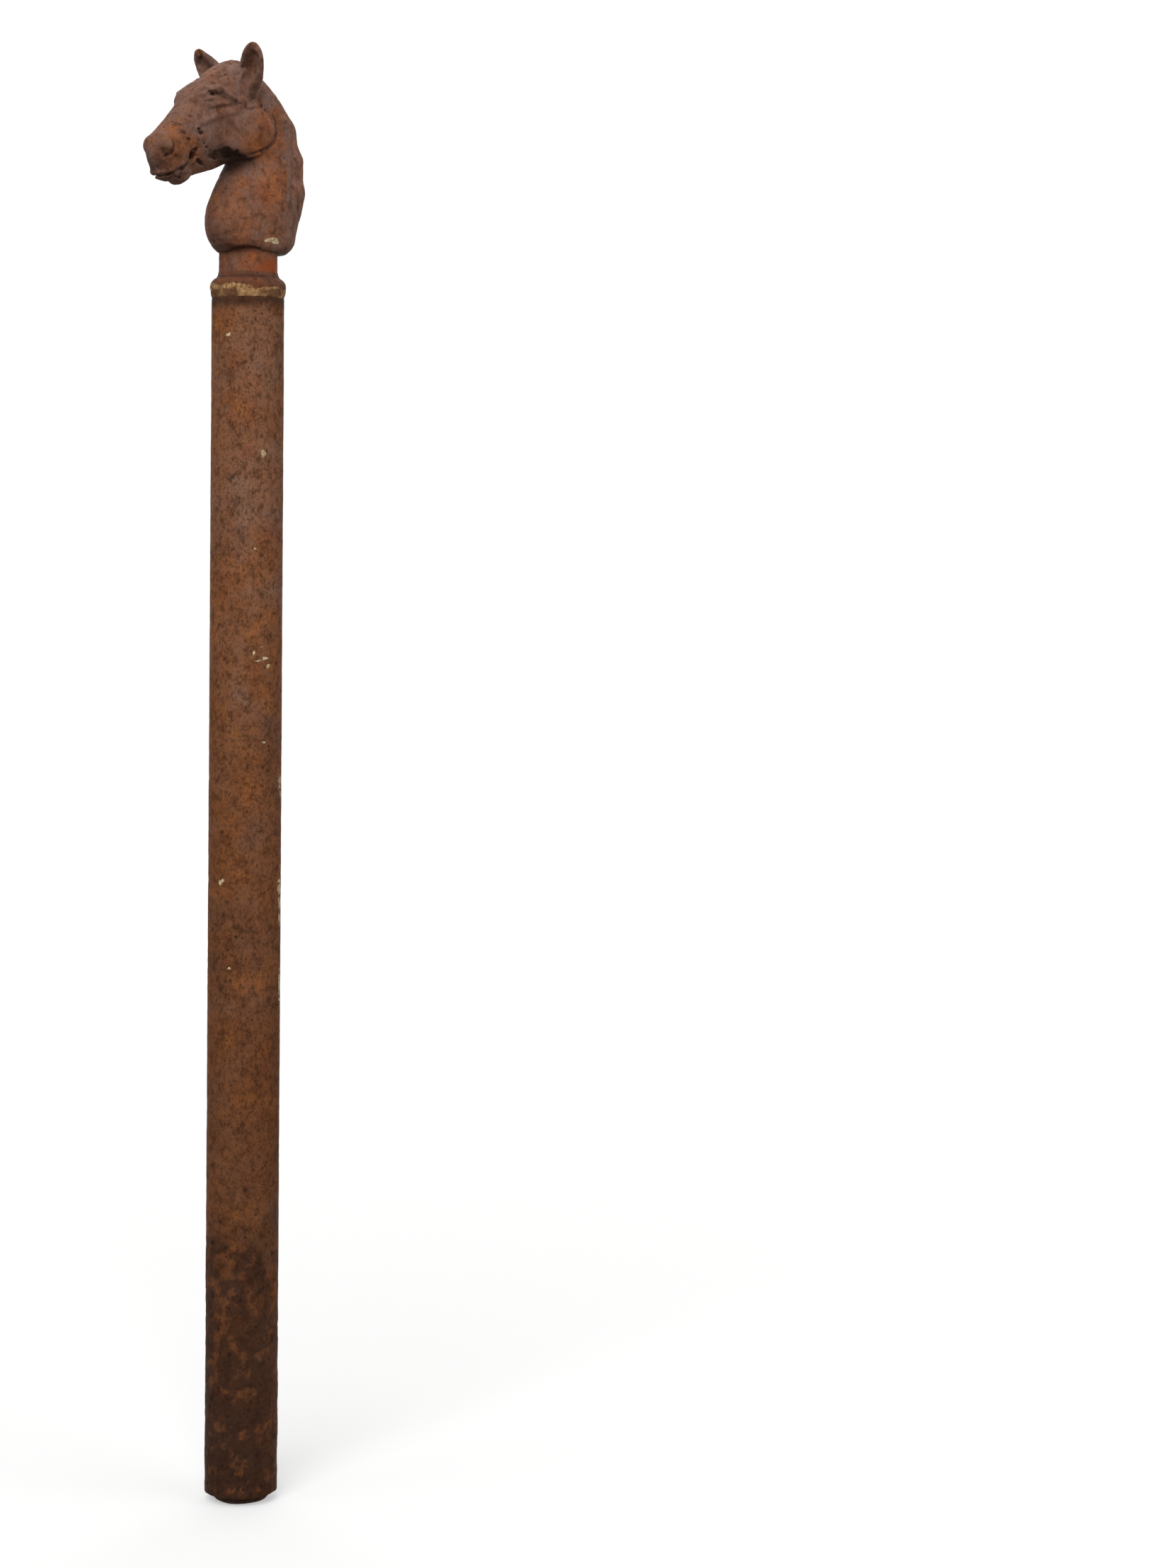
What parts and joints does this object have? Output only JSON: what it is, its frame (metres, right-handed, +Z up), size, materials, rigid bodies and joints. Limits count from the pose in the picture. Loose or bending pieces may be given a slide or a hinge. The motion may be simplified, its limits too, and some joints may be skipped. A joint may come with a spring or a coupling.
{
  "type": "hitching post",
  "caption": "Rusted cast iron hitching post: a round pipe with a beaded collar, a short neck stub and a horse's-head finial with a tether hole through the mouth.",
  "frame": {"origin": "on the post's axis at the ground line, where the part set in the ground begins", "axes": "+Z up along the post; the horse looks along -Y and its left side is +X"},
  "size_m": [0.0886, 0.2097, 1.4655],
  "materials": {
    "post_iron": "rough brown rust with darker pits",
    "foot_iron": "very dark rust from the ground",
    "stub_iron": "red brown rust",
    "pin_iron": "brown rust",
    "putty": "dry cracked ochre putty",
    "collar_iron": "brown rust",
    "head_iron": "orange and purple brown rust, pitted"
  },
  "bodies": {
    "root": {"post_pipe": "post_iron", "foot_plug": "foot_iron", "plug_pin": "foot_iron", "neck_stub": "stub_iron", "stub_pin": "pin_iron", "collar_caulking": "putty", "collar_ring": "collar_iron", "head_casting": "head_iron", "head_pin": "pin_iron"}
  },
  "joints": []
}
